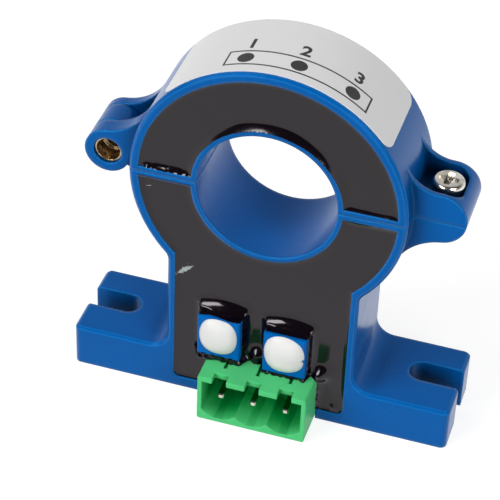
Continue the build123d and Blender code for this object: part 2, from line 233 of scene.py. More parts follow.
def moulded_blue_abs(settings):
    """ABS, injection moulded in a polished tool: glossy, with slow sink ripple and a little handling dust, a painted
    highlight along its edges and painted shade in its recesses."""
    made, add, place = new_material("moulded_blue_abs")
    sink, speck, edge_highlight_radius, recess, rounding = 11.0, 0.5, 0.5, 7.0, 0.7
    base = settings.plastic
    slow = add("TexNoise", place, per(sink))
    colour = add("Mix", slow, shade(base, 0.92), shade(base, 1.08), data_type="RGBA")
    dust = add("MapRange", add("TexNoise", place, per(speck), 3.0, 0.7), 0.68, 0.76, 0.0, 0.12)
    colour = add("Mix", dust, colour, linear("#7fa6cf"), data_type="RGBA")
    # painted highlight: the colour turns pale blue along every edge, where the rounded normal leaves the flat one
    rounded = add("Bevel", edge_highlight_radius * MM, samples=BEVEL_SAMPLES)
    turned = add("VectorMath", rounded, add("NewGeometry", out="True Normal"), operation="DOT_PRODUCT")
    colour = add("Mix", add("MapRange", turned, 0.995, 0.9, 0.0, 0.6), colour, linear("#2f8ad6"), data_type="RGBA")
    # painted shade: ambient occlusion darkens the colour towards deep navy in the recesses, as far as recess reaches
    cover = add("AmbientOcclusion", Distance=recess * MM, samples=COVER_SAMPLES, only_local=True, out="AO")
    colour = add("Mix", add("MapRange", cover, 0.32, 0.9), shade(base, 0.1), colour, data_type="RGBA")
    rough = add("MapRange", slow, 0.3, 0.7, 0.2, 0.3)
    ripple = add("TexNoise", place, per(settings.ripple / MM), 0.0)
    give_surface(
        add, ripple, 0.03, rounding, Base_Color=colour, Roughness=rough, IOR=1.46, Specular_Tint=linear(BLUE_GLOSS)
    )
    return made


def poured_black_epoxy(settings):
    """Epoxy, poured and cured in the open: a mirror-smooth skin that pulls up at its walls, with faint dull patches and
    dried smears."""
    made, add, place = new_material("poured_black_epoxy")
    patch, crumb, wave = 5.0, 0.5, 4.0
    base = settings.resin
    patches = add("TexNoise", place, per(patch), 3.0)
    colour = add("Mix", patches, shade(base, 0.85), shade(base, 1.2), data_type="RGBA")
    ragged = add("MapRange", add("TexNoise", place, per(crumb), 3.0, 0.7), 0.3, 0.7, 0.1, 1.15)
    smear = 0.0
    for x, z, turn, long, wide in SMEARS:
        at, turned, size = (x * MM, 0, z * MM), (0, math.radians(-turn), 0), (long * MM, 1, wide * MM)
        reach = add("VectorMath", add("Mapping", place, at, turned, size, vector_type="TEXTURE"), operation="LENGTH")
        smear = add("Math", smear, add("Math", reach, ragged, operation="LESS_THAN"), operation="MAXIMUM")
    colour = add("Mix", smear, colour, linear("#a3abab"), data_type="RGBA")
    dull = add("MapRange", patches, 0.35, 0.75, 0.07, 0.16)
    rough = add("Math", smear, 0.35, dull, operation="MULTIPLY_ADD")
    skin = add("TexNoise", place, per(wave))
    give_surface(add, skin, 0.015, Base_Color=colour, Roughness=rough, IOR=1.46, Specular_Tint=linear("#fff8fc"))
    return made


def moulded_blue_thermoset(settings):
    """Glass-filled thermoset of the trimmers' bodies: harder and duller than the housing, with a fine flow grain."""
    made, add, place = new_material("moulded_blue_thermoset")
    flow, rounding = 0.35, 0.15
    base = settings.body
    grain = add("TexNoise", place, per(flow), 3.0, 0.6)
    colour = add("Mix", grain, shade(base, 0.85), shade(base, 1.15), data_type="RGBA")
    rough = add("MapRange", grain, 0.3, 0.7, 0.28, 0.42)
    give_surface(
        add, grain, 0.01, rounding, Base_Color=colour, Roughness=rough, IOR=1.35, Specular_Tint=linear(BLUE_GLOSS)
    )
    return made


def cured_white_silicone(settings):
    """Neutral-cure silicone, dabbed on and left: milky, soft-edged and semi-gloss."""
    made, add, place = new_material("cured_white_silicone")
    milk, dimple = 2.2, 1.4
    base = settings.seal
    cloud = add("TexNoise", place, per(milk))
    shader = {
        "Base_Color": add("Mix", cloud, shade(base, 0.94), shade(base, 1.0), data_type="RGBA"),
        "Roughness": add("MapRange", cloud, 0.3, 0.7, 0.32, 0.45),
        "IOR": 1.41,
        "Subsurface_Weight": 0.25,
        "Subsurface_Scale": 0.6 * MM,
        "Subsurface_Radius": (1.0, 0.9, 0.8),
    }
    give_surface(add, add("TexNoise", place, per(dimple)), 0.02, **shader)
    return made


def moulded_green_polyamide(settings):
    """Polyamide of the header: slightly waxy and translucent, with the faint orange-peel of a spark-eroded tool, and
    painted shade, a deeper green, in its cavities."""
    made, add, place = new_material("moulded_green_polyamide")
    wax, spark, recess, rounding = 3.0, 0.25, 8.0, 0.15
    base = settings.plastic
    cloud = add("TexNoise", place, per(wax))
    peel = add("TexNoise", place, per(spark))
    colour = add("Mix", cloud, shade(base, 0.93), shade(base, 1.07), data_type="RGBA")
    # painted shade: ambient occlusion darkens the colour towards a deeper green in the cavities
    cover = add("AmbientOcclusion", Distance=recess * MM, samples=COVER_SAMPLES, only_local=True, out="AO")
    shader = {
        "Base_Color": add("Mix", add("MapRange", cover, 0.42, 0.9), linear("#00863a"), colour, data_type="RGBA"),
        "Roughness": add("MapRange", peel, 0.3, 0.7, 0.36, 0.48),
        "IOR": 1.2,
        "Subsurface_Weight": 0.03,
        "Subsurface_Scale": 0.4 * MM,
        "Subsurface_Radius": (0.3, 1.0, 0.4),
    }
    give_surface(add, peel, 0.006, rounding, **shader)
    return made


def drawn_metal(name, colour, rough, along, pitch, worn):
    """A metal whose drawing or turning lines, this many millimetres apart, run across axis 0, 1 or 2, with dull stains
    of the worn colour."""
    made, add, place = new_material(name)
    stain_size, squeeze = 1.6, [0.15, 0.15, 0.15]
    squeeze[along] = 1.0
    lines = add("TexNoise", add("VectorMath", place, squeeze, operation="MULTIPLY"), per(pitch), 2.0, 0.6)
    stain = add("MapRange", add("TexNoise", place, per(stain_size), 3.0, 0.6), 0.45, 0.75)
    base = add("Mix", stain, colour, worn, data_type="RGBA")
    sheen = add("MapRange", lines, 0.3, 0.7, rough * 0.8, rough * 1.25)
    give_surface(add, lines, 0.006, Base_Color=base, Roughness=sheen, Metallic=1.0)
    return made


def laminated_core_steel():
    """Silicon steel sheets, stamped and stacked: fine dark lines between the sheets."""
    made, add, place = new_material("laminated_core_steel")
    sheet, gap = 0.35, 0.16
    across = add("SeparateXYZ", place, out="Y")
    edge = add("Math", add("Math", across, per(sheet), operation="MULTIPLY"), operation="FRACT")
    dark = add("Math", edge, gap, operation="LESS_THAN")
    base = add("Mix", dark, linear("#8d9094"), linear("#3c3d40"), data_type="RGBA")
    give_surface(add, edge, 0.01, Base_Color=base, Roughness=0.42, Metallic=1.0)
    return made


def masked_glass_epoxy():
    """Glass-epoxy board under green solder mask: its weave shows through as a soft check."""
    made, add, place = new_material("masked_glass_epoxy")
    weave = 1.0
    for axis in ("X", "Z"):
        turn = add("Math", add("SeparateXYZ", place, out=axis), per(WEAVE) * math.pi, operation="MULTIPLY")
        weave = add("Math", weave, add("Math", turn, operation="SINE"), operation="MULTIPLY")
    green = add("MapRange", weave, -1.0, 1.0)
    base = add("Mix", green, linear("#0d5c2c"), linear("#16753b"), data_type="RGBA")
    give_surface(add, weave, 0.008, Base_Color=base, Roughness=0.35, IOR=1.55)
    return made


def moulded_case(name, hex_colour, rough):
    """Moulded case of a board part: matt, with the grain of its filler."""
    made, add, place = new_material(name)
    filler, spread = 0.2, 0.08
    base = linear(hex_colour)
    grain = add("TexNoise", place, per(filler), 3.0, 0.7)
    colour = add("Mix", grain, shade(base, 0.8), shade(base, 1.25), data_type="RGBA")
    matt = add("MapRange", grain, 0.3, 0.7, rough - spread, rough + spread)
    give_surface(add, grain, 0.008, Base_Color=colour, Roughness=matt, IOR=1.55)
    return made


def printed_label_film(settings):
    """Polyester label film: satin, almost white, with the faint unevenness of the glue under it."""
    made, add, place = new_material("printed_label_film")
    glue = 6.0
    base = settings.film
    cloud = add("TexNoise", place, per(glue))
    colour = add("Mix", cloud, shade(base, 0.97), shade(base, 1.02), data_type="RGBA")
    satin = add("MapRange", cloud, 0.3, 0.7, 0.34, 0.44)
    give_surface(add, cloud, 0.02, Base_Color=colour, Roughness=satin, IOR=1.5)
    return made


def thermal_transfer_ink(settings):
    """Ribbon print: dull black with a slightly broken edge to its cover."""
    made, add, place = new_material("thermal_transfer_ink")
    speck = 0.15
    base = settings.ink
    thin = add("MapRange", add("TexNoise", place, per(speck), 2.0, 0.7), 0.6, 0.8)
    colour = add("Mix", thin, base, shade(base, 2.2), data_type="RGBA")
    add("OutputMaterial", add("BsdfPrincipled", Base_Color=colour, Roughness=0.5, IOR=1.5))
    return made


def mesh_piece(name, bm, material, scale=MM):
    """A new object from a bmesh in millimetres, with its material."""
    bmesh.ops.scale(bm, vec=(scale, scale, scale), verts=bm.verts)
    data = bpy.data.meshes.new(name)
    bm.to_mesh(data)
    bm.free()
    data.materials.append(material)
    made = bpy.data.objects.new(name, data)
    bpy.context.scene.collection.objects.link(made)
    return made


def skin(bm, rings, tip=None):
    """Faces from each ring of points to the next and, where there is a tip, from the last ring to it."""
    around = len(rings[0])
    for k in range(around):
        j = (k + 1) % around
        for first, second in zip(rings, rings[1:]):
            bm.faces.new((first[k], first[j], second[j], second[k]))
        if tip is not None:
            bm.faces.new((rings[-1][k], rings[-1][j], tip))


def smooth(piece, degrees):
    """Smooth shading with edges sharper than this kept crisp."""
    piece.data.shade_smooth()
    piece.data.set_sharp_from_angle(angle=math.radians(degrees))


def seat(piece, body, slot, *replaced):
    """Fixes a piece to its body and hides the nodes of the frame that it stands for."""
    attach(piece, body)
    if replaced:
        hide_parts(*replaced)


# a piece with fewer faces than this wasn't made
LEAST_FACES = 500
WELD_GAP = 0.0005
SHARP_TURN = 40


def dress(name, material, edge=0.0):
    """Gives a node of the frame its material and, where asked, soft edges of this many millimetres."""
    node = nodes[name]
    if not node.material_slots:
        raise RuntimeError(f"{name} has no material slot")
    for slot in node.material_slots:
        slot.material = material
    if edge:
        weld = node.modifiers.new("weld", "WELD")
        weld.merge_threshold = WELD_GAP * MM
        bevel = node.modifiers.new("edge", "BEVEL")
        bevel.width = edge * MM
        bevel.segments = 2
        bevel.limit_method = "ANGLE"
        bevel.angle_limit = math.radians(SHARP_TURN)
        bevel.harden_normals = True


class TRANSDUCER_OT_housing(bpy.types.Operator):
    """Gives the two moulded halves their plastic"""

    bl_idname = "transducer.housing"
    bl_label = "Housing"

    def execute(self, context):
        plastic = moulded_blue_abs(context.scene.transducer_housing)
        for name in ("base_housing", "top_housing"):
            dress(name, plastic)
        return {"FINISHED"}


def arc(radius, start, end, step, centre=(0.0, RING_Z)):
    """Points of an arc from one angle to another in degrees, anticlockwise from +X, about this far apart."""
    count = max(2, math.ceil(abs(math.radians(end - start)) * radius / step))
    turns = [math.radians(start + (end - start) * i / count) for i in range(count + 1)]
    return [(centre[0] + radius * math.cos(t), centre[1] + radius * math.sin(t)) for t in turns]


def straight(start, end, step):
    """Points of a straight run, about this far apart, without its last."""
    count = max(1, math.ceil(math.dist(start, end) / step))
    across, up = end[0] - start[0], end[1] - start[1]
    return [(start[0] + across * i / count, start[1] + up * i / count) for i in range(count)]


def box_distance(x, z, low_x, high_x, low_z, high_z):
    """Signed distance from a point to a rectangle, below zero inside."""
    dx, dz = max(low_x - x, x - high_x), max(low_z - z, z - high_z)
    return max(dx, dz) if max(dx, dz) < 0 else math.hypot(max(dx, 0), max(dz, 0))


def climb(distance, height, reach, power=2.4):
    """Height of resin at this distance from a wall that it wets."""
    return height * max(0.0, 1 - max(distance, 0.0) / reach) ** power


# walls that hold the resin, in millimetres
WINDOW_WALL = 0.8
NECK_HALF = 13.48
BOTTOM_CORNER = 1.0
NO_WALL = 99.0
# lap of the resin over the wall below the left half of the split: its width, its height, and the width of its rise
SPLIT_LAP = 0.28
LAP_LEVEL = 0.53
LAP_REACH = 0.22
# the run of resin above the left half of the split: its middle and half its length
RUN_MIDDLE = -14.8
RUN_HALF = 4.4
# beads on the lower half: place across and up, radius and height
BEADS = ((-0.3, 9.7, 1.25, 1.15), (9.7, 8.9, 1.3, 1.05), (-8.3, 8.6, 0.8, 0.4), (12.2, 2.6, 0.7, 0.35))
# how far round a trimmer its collar reaches, how far it goes under it, and how far it bows up in its middle
COLLAR_SPAN = 3
COLLAR_UNDER = 0.4
COLLAR_BOW = 0.5
# unevenness of the resin: cells to the millimetre, and layer of the noise
DRIFT = (0.22, 3.1)
RIPPLE = (1.7, 7.7)
# rows of points: how far inside a wall, how clear of the others, and how far outside a trimmer
WALL_ROW = 0.12
WALL_CLEAR = 0.08
TRIMMER_ROWS = (0.03, -0.25)
# how far the middle of a face may lie outside an arc that the outline cuts short
OUTLINE_SLACK = 0.004


def uneven(x, z, cells, layer):
    """Smooth noise at a point, with this many cells to the millimetre, from another place for each layer."""
    return noise.noise(Vector((x * cells, z * cells, layer)))


class Resin:
    """Outline and level of the resin in one half, in millimetres."""

    def __init__(self, node, settings):
        self.low, self.high = node_box(node)
        self.bore = WINDOW_RADIUS + WINDOW_WALL
        self.rim = node_box("upper_potting")[1].z - RING_Z
        self.lower = self.high.z < RING_Z
        self.split = self.high.z if self.lower else self.low.z
        self.floor = self.low.z
        header_low, header_high = node_box("terminal_header")
        self.header = (header_low.x, header_high.x, header_low.z, header_high.z)
        self.trimmers = [node_box(f"{side}_trimmer_body") for side in ("left", "right")]
        self.creep = settings.creep / MM
        self.reach = settings.reach / MM
        self.collar = settings.collar / MM
        self.collar_reach = settings.collar_reach / MM

    def outline(self, step):
        """Closed outline of the resin's surface, anticlockwise."""
        rise = self.split - RING_Z
        bore_turn = math.degrees(math.asin(rise / self.bore))
        bore_end = self.bore * math.cos(math.radians(bore_turn))
        rim_turn = math.degrees(math.asin(rise / self.rim))
        if not self.lower:
            points = arc(self.rim, rim_turn, 180 - rim_turn, step)
            points += straight(points[-1], (-bore_end, self.split), step)[1:]
            points += arc(self.bore, 180 - bore_turn, bore_turn, step)
            points += straight(points[-1], points[0], step)[1:]
            return points
        bore_lap, rim_lap = (math.degrees(math.asin((rise + SPLIT_LAP) / radius)) for radius in (self.bore, self.rim))
        junction = math.degrees(math.acos(NECK_HALF / self.rim))
        left, right, _, top = self.header
        corner = BOTTOM_CORNER
        points = arc(self.rim, 180 - rim_lap, 180 + junction, step)
        points += straight(points[-1], (-NECK_HALF, self.floor + corner), step)[1:]
        points += arc(corner, 180, 270, step, (-NECK_HALF + corner, self.floor + corner))
        notch = ((left, self.floor), (left, top), (right, top), (right, self.floor))
        for target in (*notch, (NECK_HALF - corner, self.floor)):
            points += straight(points[-1], target, step)[1:] + [target]
        points += arc(corner, 270, 360, step, (NECK_HALF - corner, self.floor + corner))[1:]
        junction_point = (NECK_HALF, RING_Z - self.rim * math.sin(math.radians(junction)))
        points += straight(points[-1], junction_point, step)[1:]
        points += arc(self.rim, -junction, rim_turn, step)
        points += straight(points[-1], (bore_end, self.split), step)[1:]
        points += arc(self.bore, bore_turn, -180 - bore_lap, step)
        points += straight(points[-1], points[0], step)[1:]
        return points

    def walls(self, x, z):
        """Distances inward from the bore, the split wall, the outer wall and the header."""
        radius = math.hypot(x, z - RING_Z)
        outer = self.rim - radius
        if not self.lower:
            return radius - self.bore, z - self.split, outer, NO_WALL
        split = self.split + (SPLIT_LAP if x < 0 else 0.0) - z
        neck = -box_distance(x, z, -NECK_HALF, NECK_HALF, self.floor, RING_Z)
        return radius - self.bore, split, max(outer, neck), box_distance(x, z, *self.header)

    def inside(self, x, z, margin=0.0):
        """Whether a point lies in the resin, at least this far from its walls."""
        return min(self.walls(x, z)) > margin

    def fill(self, loop, step):
        """Points of the surface inside its outline: an even grid, with rows where the surface is steepest, close to the
        walls and round the trimmers."""
        points = []
        columns = int((self.high.x - self.low.x) / step) + 2
        rows = int((self.high.z - self.low.z) / step) + 2
        for i in range(columns):
            for j in range(rows):
                x = self.low.x + (i + 0.5 * (j % 2)) * step
                z = self.low.z + j * step
                if self.inside(x, z, 0.45 * step):
                    points.append((x, z))
        for a, b in zip(loop, loop[1:] + loop[:1]):
            inward = Vector((a[1] - b[1], b[0] - a[0])).normalized()
            point = (Vector(a) + Vector(b)) / 2 + inward * WALL_ROW
            if self.inside(point.x, point.y, WALL_CLEAR):
                points.append(tuple(point))
        for low, high in self.trimmers if self.lower else ():
            for grow in TRIMMER_ROWS:
                corners = [(low.x - grow, low.z - grow), (high.x + grow, low.z - grow)]
                corners += [(high.x + grow, high.z + grow), (low.x - grow, high.z + grow)]
                for a, b in zip(corners, corners[1:] + corners[:1]):
                    points += [p for p in straight(a, b, step) if self.inside(*p, 0.1)]
        return points

    def level(self, x, z):
        """How far the surface stands in front of its flat level."""
        bore, split, outer, header = self.walls(x, z)
        drift = uneven(x, z, *DRIFT)
        ripple = uneven(x, z, *RIPPLE)
        creep = self.creep * (1 + 0.25 * drift)
        crown = max(0.0, (z - RING_Z) / self.bore)
        bore_creep = creep * (0.45 if self.lower else 0.75 + 0.95 * crown)
        height = max(
            climb(bore, bore_creep, self.reach, 2.4 - 0.8 * crown),
            self.split_level(x, z, split, creep, drift, ripple),
            climb(outer, creep * 0.55, self.reach * 0.6),
            climb(header, creep * (1.5 + 1.2 * ripple), self.reach * 0.8),
        )
        height += 0.012 * drift
        if self.lower:
            for index, (low, high) in enumerate(self.trimmers):
                height = max(height, self.collar_level(x, z, low, high, index, ripple))
            for bead_x, bead_z, size, swell in BEADS:
                height += swell * math.exp(-((x - bead_x) ** 2 + (z - bead_z) ** 2) / size**2)
        return height

    def split_level(self, x, z, split, creep, drift, ripple):
        """Height of the resin along the split: it laps over the wall below the left half, runs along the wall above
        it, fullest in its middle and thin at its ends, and keeps close to the walls of the right half."""
        if x >= 0:
            return climb(split, creep * (0.85 + 0.08 * ripple), self.reach * (0.75 + 0.2 * drift))
        if self.lower:
            return climb(self.split - z, LAP_LEVEL, LAP_REACH, 1.0)
        full = max(0.0, 1 - ((x - RUN_MIDDLE) / RUN_HALF) ** 2)
        return climb(split, creep * (0.8 + 0.55 * full + 0.45 * ripple), self.reach * (0.5 + 0.35 * full), 1.5)

    def collar_level(self, x, z, low, high, index, ripple):
        """Height of the collar that the resin forms round a trimmer."""
        distance = box_distance(x, z, low.x, high.x, low.z, high.z)
        if distance > COLLAR_SPAN or distance < -COLLAR_UNDER:
            return 0.0
        if distance > 0:
            nearest = Vector((min(max(x, low.x), high.x), min(max(z, low.z), high.z)))
            away = (Vector((x, z)) - nearest) / distance
        else:
            sides = {high.z - z: (0, 1), z - low.z: (0, -1), high.x - x: (1, 0), x - low.x: (-1, 0)}
            away = Vector(sides[min(sides)])
        up, down = max(0.0, away.y) ** 2, max(0.0, -away.y) ** 2
        left, right = max(0.0, -away.x) ** 2, max(0.0, away.x) ** 2
        across = (x - (low.x + high.x) / 2) / (high.x - low.x) * 2
        bare = 0.2 * math.exp(-(((across + 0.35) / 0.5) ** 2)) if index == 0 else 0.17
        distance = max(0.0, distance)
        raised = max(0.0, distance - COLLAR_BOW * max(0.0, 1 - across**2))
        # a slope of about forty degrees, then a film that stands up against the trimmer's top
        slope = climb(raised, 0.46, self.collar_reach, 1.9) + climb(distance, 0.54 - bare, 0.45, 2.0)
        bead = max(0.0, 1 - (distance / 1.6) ** 4) * (1.08 + 0.16 * ripple)
        aside = climb(distance, 1.0, 0.75 * self.collar_reach)
        return self.collar * (slope * up + bead * down + (0.3 * left + 0.55 * right) * aside * (1 + 0.1 * ripple))


def resin_piece(name, node, body, settings, material):
    """Solid of resin whose open face pulls up at every wall."""
    resin = Resin(node, settings)
    step = settings.grid / MM
    loop = resin.outline(step)
    coords = [Vector(p) for p in loop + resin.fill(loop, step)]
    edges = [(i, (i + 1) % len(loop)) for i in range(len(loop))]
    flat, _, faces, *_ = delaunay_2d_cdt(coords, edges, [], 0, 1e-5)
    bm = bmesh.new()
    front = [bm.verts.new((p.x, resin.low.y - resin.level(p.x, p.y), p.y)) for p in flat]
    for face in faces:
        centre = sum((flat[i] for i in face), Vector((0, 0))) / len(face)
        if resin.inside(centre.x, centre.y, -OUTLINE_SLACK):
            bm.faces.new([front[i] for i in face])
    for vert in [v for v in bm.verts if not v.link_faces]:
        bm.verts.remove(vert)
    rim = [e for e in bm.edges if e.is_boundary]
    extruded = bmesh.ops.extrude_edge_only(bm, edges=rim)["geom"]
    for vert in (v for v in extruded if isinstance(v, bmesh.types.BMVert)):
        vert.co.y = resin.high.y
    back_rim = [e for e in extruded if isinstance(e, bmesh.types.BMEdge) and e.is_boundary]
    bmesh.ops.triangle_fill(bm, use_beauty=True, edges=back_rim)
    bmesh.ops.recalc_face_normals(bm, faces=bm.faces)
    piece = mesh_piece(name, bm, material)
    smooth(piece, 62)
    seat(piece, body, "potting_resin", node)
    return piece


class TRANSDUCER_OT_potting(bpy.types.Operator):
    """Pours the resin into both halves"""

    bl_idname = "transducer.potting"
    bl_label = "Potting"

    def execute(self, context):
        settings = context.scene.transducer_potting
        resin = poured_black_epoxy(settings)
        for name, node, body in (("lower_resin", "lower_potting", "base"), ("upper_resin", "upper_potting", "top")):
            piece = resin_piece(name, node, body, settings, resin)
            if len(piece.data.polygons) < LEAST_FACES:
                raise RuntimeError(f"{name} came out empty")
        return {"FINISHED"}


# silicone dots: share of their width and height, layer of their unevenness, and depth of a nick in their edge
SEALS = {"left": (0.93, 1.05, 1.0, 0.0), "right": (0.98, 1.08, 9.0, 0.35)}
NICK_TURN = 6.16
NICK_WIDTH = 0.09
# two makes an ellipse, and more a squarer outline
SEAL_POWER = 2.35


def seal_piece(side, settings, material):
    """Silicone dot: a low dome with an uneven edge, seated on the trimmer's face."""
    low, high = node_box(f"{side}_trimmer_seal")
    face = high.y
    centre = (low + high) / 2
    radius = (high.x - low.x) / 2
    height = settings.seal_height / MM
    around, rings = 96, 18
    wide, tall, layer, nick = SEALS[side]
    bm = bmesh.new()
    rows = []
    for ring in range(1, rings + 1):
        share = ring / rings
        row = []
        for k in range(around):
            turn = 2 * math.pi * k / around
            across, up = math.cos(turn), math.sin(turn)
            full = (abs(across / wide) ** SEAL_POWER + abs(up / tall) ** SEAL_POWER) ** (1 / SEAL_POWER)
            edge = radius * (1 + 0.03 * uneven(across, up, 1.5, layer)) / full
            edge -= nick * math.exp(-(((turn - NICK_TURN) / NICK_WIDTH) ** 2)) * share**6
            lift = height * (1 - share**2.6) ** 0.75
            lift *= 1 + 0.08 * uneven(across * share, up * share, 2, layer + 4)
            row.append(bm.verts.new((centre.x + edge * share * across, face - lift, centre.z + edge * share * up)))
        rows.append(row)
    skin(bm, rows[::-1], bm.verts.new((centre.x, face - height, centre.z)))
    bm.faces.new(rows[-1])
    bmesh.ops.recalc_face_normals(bm, faces=bm.faces)
    piece = mesh_piece(f"{side}_seal", bm, material)
    smooth(piece, 70)
    seat(piece, "base", "silicone", f"{side}_trimmer_seal")


class TRANSDUCER_OT_trimmers(bpy.types.Operator):
    """Finishes the trimmers and seals them with silicone"""

    bl_idname = "transducer.trimmers"
    bl_label = "Trimmers"

    def execute(self, context):
        settings = context.scene.transducer_trimmer
        body = moulded_blue_thermoset(settings)
        silicone = cured_white_silicone(settings)
        rotor = moulded_case("moulded_ivory_nylon", "#d8d2bd", 0.4)
        for side in ("left", "right"):
            dress(f"{side}_trimmer_body", body)
            dress(f"{side}_trimmer_rotor", rotor)
            seal_piece(side, settings, silicone)
        return {"FINISHED"}


class TRANSDUCER_OT_header(bpy.types.Operator):
    """Finishes the terminal header and its pins"""

    bl_idname = "transducer.header"
    bl_label = "Header"

    def execute(self, context):
        settings = context.scene.transducer_header
        dress("terminal_header", moulded_green_polyamide(settings), 0.1)
        tinned = drawn_metal("tinned_brass_pin", settings.pin, 0.12, 1, 0.2, linear("#b7b3a6"))
        for number in (1, 2, 3):
            dress(f"terminal_pin_{number}", tinned)
        return {"FINISHED"}


HEAD_HEIGHT = 2.1
THREAD_RADIUS = 1.5
# rows of points to a turn of the thread, and points round the screw
THREAD_ROWS = 8
SCREW_AROUND = 48
# how far the cross recess is turned from the X axis, in degrees
RECESS_TURN = -6


def screw_bmesh(settings, low, high):
    """Pan head screw about the Z axis with a rolled thread, in millimetres."""
    head_radius = (high.x - low.x) / 2
    seat_z = high.z - HEAD_HEIGHT
    depth = settings.thread_depth / MM
    pitch = settings.pitch / MM
    around = SCREW_AROUND
    corner, crown, side, chamfer = 0.45, 0.06, 0.9, 0.06
    shoulder = high.z - crown - side
    profile = [(head_radius - chamfer, seat_z), (head_radius, seat_z + chamfer)]
    for i in range(9):
        turn = math.radians(90 * i / 8)
        profile.append((head_radius - corner + corner * math.cos(turn), shoulder + side * math.sin(turn)))
    for i in range(1, 5):
        share = 1 - i / 5
        profile.append(((head_radius - corner) * share, high.z - crown * share**2))
    turns = [2 * math.pi * k / around for k in range(around)]
    bm = bmesh.new()
    grid = []
    rows = int((seat_z - low.z) / pitch * THREAD_ROWS)
    for i in range(rows + 1):
        z = low.z + (seat_z - low.z) * i / rows
        # the thread runs out under the head and towards the point, which tapers
        fade = min(1.0, (seat_z - z) / 0.4) * min(1.0, 0.35 + (z - low.z) / 0.6)
        taper = min(1.0, 0.72 + z - low.z)
        row = []
        for k, turn in enumerate(turns):
            wave = (z / pitch - k / around) % 1.0
            cut = min(1.0, max(0.0, abs(wave - 0.5) * 3.2 - 0.3))
            radius = (THREAD_RADIUS - depth * cut * fade) * taper
            row.append(bm.verts.new((radius * math.cos(turn), radius * math.sin(turn), z)))
        grid.append(row)
    for radius, z in profile:
        grid.append([bm.verts.new((radius * math.cos(turn), radius * math.sin(turn), z)) for turn in turns])
    skin(bm, grid, bm.verts.new((0, 0, high.z)))
    bm.faces.new(grid[0][::-1])
    return bm


def recess_bmesh(settings, top):
    """Cutter for the cross recess: four tapering slots that meet in a blunt point."""
    reach, slot = settings.recess / MM / 2, settings.recess_slot / MM / 2
    depth = settings.recess_depth / MM
    bm = bmesh.new()
    rings = []
    for z, long, wide in (
        (top + 0.4, reach * 1.12, slot * 1.12),
        (top, reach, slot),
        (top - depth * 0.75, reach * 0.62, slot * 0.72),
        (top - depth, reach * 0.3, slot * 0.5),
    ):
        ring = []
        for quarter in range(4):
            turn = Matrix.Rotation(math.radians(90 * quarter + RECESS_TURN), 3, "Z")
            for x, y in ((long, -wide), (long, wide), (wide * 1.45, wide * 1.45)):
                ring.append(bm.verts.new(turn @ Vector((x, y, z))))
        rings.append(ring)
    skin(bm, rings[::-1])
    bm.faces.new(rings[0])
    bm.faces.new(rings[-1][::-1])
    return bm


class TRANSDUCER_OT_screw(bpy.types.Operator):
    """Makes the clamp screw and finishes its insert and the hinge pin"""

    bl_idname = "transducer.screw"
    bl_label = "Screw and hinge"

    def execute(self, context):
        settings = context.scene.transducer_screw
        nickel = drawn_metal("nickel_plated_steel", settings.metal, 0.2, 2, 0.3, linear("#a59d8c"))
        low, high = node_box("clamp_screw")
        centre = (low + high) / 2
        blank = mesh_piece("clamp_screw_body", screw_bmesh(settings, low, high), nickel, 1.0)
        cutter = mesh_piece("recess_cutter", recess_bmesh(settings, high.z), nickel, 1.0)
        cut = blank.modifiers.new("recess", "BOOLEAN")
        cut.object, cut.solver = cutter, "EXACT"
        shaped = bpy.data.meshes.new_from_object(blank.evaluated_get(context.evaluated_depsgraph_get()))
        blank.modifiers.clear()
        blank.data = shaped
        bpy.data.objects.remove(cutter)
        if len(shaped.polygons) < LEAST_FACES:
            raise RuntimeError("the recess was not cut")
        shaped.transform(Matrix.Scale(MM, 4) @ Matrix.Translation((centre.x, centre.y, 0)))
        smooth(blank, 32)
        seat(blank, "screw", "nickel_steel", "clamp_screw")
        brass = drawn_metal("turned_brass", linear("#bba98f"), 0.22, 1, 0.25, linear("#6e5d49"))
        dress("hinge_pin", brass, 0.08)
        dress("threaded_insert", brass)
        return {"FINISHED"}


def wrapped_piece(name, flats, inner, outer, material, step):
    """Solid film bent round the ring in steps of this length. Its flat outlines are given in millimetres along the arc
    from the crown and along Y."""
    bm = bmesh.new()
    for outline in flats:
        bm.faces.new([bm.verts.new((x, y, 0)) for x, y in outline])
    low = min(v.co.x for v in bm.verts)
    high = max(v.co.x for v in bm.verts)
    for i in range(math.floor(low / step), math.ceil(high / step) + 1):
        bmesh.ops.bisect_plane(
            bm, geom=bm.verts[:] + bm.edges[:] + bm.faces[:], dist=1e-6, plane_co=(i * step, 0, 0), plane_no=(1, 0, 0)
        )
    grown = bmesh.ops.extrude_face_region(bm, geom=bm.faces[:], use_keep_orig=True)["geom"]
    raised = {v for v in grown if isinstance(v, bmesh.types.BMVert)}
    for vert in bm.verts:
        radius = outer if vert in raised else inner
        turn = vert.co.x / outer
        vert.co = Vector((radius * math.sin(turn), vert.co.y, RING_Z + radius * math.cos(turn)))
    bmesh.ops.recalc_face_normals(bm, faces=bm.faces)
    piece = mesh_piece(name, bm, material)
    smooth(piece, 40)
    seat(piece, "top", "label_film")
    return piece


def rounded_rectangle(low_x, high_x, low_y, high_y, radius, steps=8):
    """Outline of a rectangle with round corners, anticlockwise."""
    points = []
    for cx, cy, start in (
        (high_x - radius, high_y - radius, 0),
        (low_x + radius, high_y - radius, 90),
        (low_x + radius, low_y + radius, 180),
        (high_x - radius, low_y + radius, 270),
    ):
        for i in range(steps + 1):
            turn = math.radians(start + 90 * i / steps)
            points.append((cx + radius * math.cos(turn), cy + radius * math.sin(turn)))
    return points


